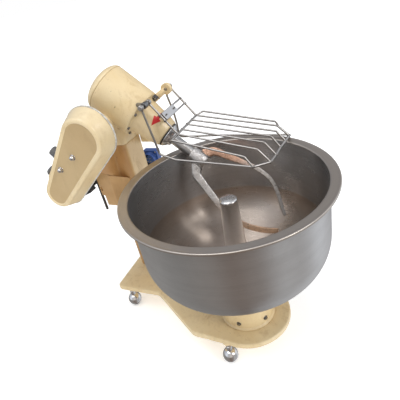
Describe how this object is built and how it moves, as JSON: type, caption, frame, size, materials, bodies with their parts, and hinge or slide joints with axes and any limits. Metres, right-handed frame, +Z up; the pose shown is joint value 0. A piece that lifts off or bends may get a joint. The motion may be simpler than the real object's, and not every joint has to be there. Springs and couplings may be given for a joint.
{
  "type": "fork dough kneader",
  "caption": "Free-standing fork dough kneader: turning steel bowl on a cast base, inclined two-prong fork driven by a belt and worm, hinged wire guard.",
  "frame": {"origin": "centre of the machine's plan box, on the floor under the feet", "axes": "+Z up, +X from the column towards the bowl, the belt cover on the -Y side"},
  "size_m": [1.1326, 0.761, 1.0317],
  "materials": {
    "cream_paint": "satin",
    "plate_paint": "satin",
    "bowl_steel": "brushed",
    "machined_steel": "machined",
    "polished_steel": "polished",
    "forged_steel": "rough",
    "bronze": "machined",
    "pulley_iron": "machined",
    "rubber": "matt",
    "motor_paint": "satin",
    "dark_steel": "satin",
    "wire_steel": "satin",
    "black_plastic": "matt",
    "switch_metal": "satin",
    "grey_plastic": "matt",
    "blue_plastic": "gloss"
  },
  "bodies": {
    "base": {"base_casting": "cream_paint", "foot_lock_nuts": "machined_steel", "bearing_pedestal": "cream_paint", "base_bolts": "machined_steel", "bowl_bearings": "machined_steel", "pedestal_seal_cap": "machined_steel", "column": "cream_paint", "head_housing": "cream_paint", "rear_cap": "cream_paint", "fork_bearings": "machined_steel", "nose_seal": "rubber", "worm_bearings": "machined_steel", "worm_cover_near": "cream_paint", "worm_cover_far": "cream_paint", "worm_case_bolts": "machined_steel", "back_plate": "plate_paint", "belt_cover": "cream_paint", "cover_studs": "polished_steel", "v_belts": "rubber", "motor_bracket": "cream_paint", "support_plate": "dark_steel", "strap_bolts": "machined_steel", "control_box": "cream_paint", "inlet_box": "cream_paint", "power_inlet": "blue_plastic", "pivot_arm_far": "cream_paint", "pivot_arm_near": "cream_paint", "limit_switch": "black_plastic"},
    "bowl": {"bowl_spindle": "machined_steel", "spindle_nut_and_bolts": "machined_steel", "bowl_doubler": "bowl_steel", "bowl_shell": "bowl_steel", "bowl_centre_cone": "bowl_steel"},
    "fork": {"fork_shaft": "forged_steel", "worm_wheel": "bronze", "nose_collar": "polished_steel", "fork_hub": "forged_steel", "prong_left": "forged_steel", "prong_right": "forged_steel"},
    "worm": {"worm_shaft": "machined_steel", "big_pulley": "pulley_iron"},
    "motor": {"motor_flange": "motor_paint", "motor_body": "motor_paint", "motor_bolts": "machined_steel", "motor_end_shield": "motor_paint", "motor_bearings": "machined_steel", "fan_cowl": "motor_paint"},
    "rotor": {"motor_rotor": "machined_steel", "motor_fan": "black_plastic", "motor_pulley": "pulley_iron"},
    "guard": {"wire_guard": "wire_steel", "pivot_pins": "wire_steel", "guard_clamp": "machined_steel"},
    "knob_power": {"knob_1": "grey_plastic"},
    "knob_timer": {"knob_2": "grey_plastic"},
    "lever": {"switch_lever": "switch_metal"},
    "foot_a": {"levelling_foot_1": "polished_steel"},
    "foot_b": {"levelling_foot_2": "polished_steel"},
    "foot_c": {"levelling_foot_3": "polished_steel"},
    "foot_d": {"levelling_foot_4": "polished_steel"}
  },
  "joints": [
    {"name": "bowl_spin", "type": "hinge", "parent": "base", "child": "bowl", "pos_m": [0.2263, -0.04049, 0.2], "axis": [0, 0, 1], "continuous": true},
    {"name": "fork_spin", "type": "hinge", "parent": "base", "child": "fork", "pos_m": [-0.148, 0.14651, 0.8622], "axis": [0.7408, 0, -0.6717], "continuous": true},
    {"name": "worm_spin", "type": "hinge", "parent": "base", "child": "worm", "pos_m": [-0.2524, 0.14651, 0.853], "axis": [0, 1, 0], "continuous": true},
    {"name": "motor_slide", "type": "slide", "parent": "base", "child": "motor", "axis": [0.6866, 0, 0.7271], "range_m": [0, 0.008]},
    {"name": "rotor_spin", "type": "hinge", "parent": "motor", "child": "rotor", "pos_m": [-0.469, 0.10951, 0.6235], "axis": [0, 1, 0], "continuous": true},
    {"name": "guard_tilt", "type": "hinge", "parent": "base", "child": "guard", "pos_m": [-0.0593, 0.14651, 0.9159], "axis": [0, -1, 0], "range_deg": [0, 118]},
    {"name": "knob_power_turn", "type": "hinge", "parent": "base", "child": "knob_power", "pos_m": [-0.47512, 0.01651, 0.75306], "axis": [-0.7271, 0, 0.6866], "range_deg": [0, 90]},
    {"name": "knob_timer_turn", "type": "hinge", "parent": "base", "child": "knob_timer", "pos_m": [-0.5441, 0.01651, 0.68001], "axis": [-0.7271, 0, 0.6866], "range_deg": [0, 270]},
    {"name": "switch_lever_tilt", "type": "hinge", "parent": "base", "child": "lever", "pos_m": [-0.08334, 0.18851, 0.90076], "axis": [0, 1, 0], "range_deg": [0, 20], "stiffness_Nm_per_rad": 0.05},
    {"name": "foot_a_height", "type": "slide", "parent": "base", "child": "foot_a", "axis": [0, 0, 1], "range_m": [-0.006, 0.006]},
    {"name": "foot_b_height", "type": "slide", "parent": "base", "child": "foot_b", "axis": [0, 0, 1], "range_m": [-0.006, 0.006]},
    {"name": "foot_c_height", "type": "slide", "parent": "base", "child": "foot_c", "axis": [0, 0, 1], "range_m": [-0.006, 0.006]},
    {"name": "foot_d_height", "type": "slide", "parent": "base", "child": "foot_d", "axis": [0, 0, 1], "range_m": [-0.006, 0.006]}
  ],
  "couplings": [
    {"joint": "worm_spin", "follows": "fork_spin", "ratio": 18},
    {"joint": "rotor_spin", "follows": "fork_spin", "ratio": 36}
  ]
}
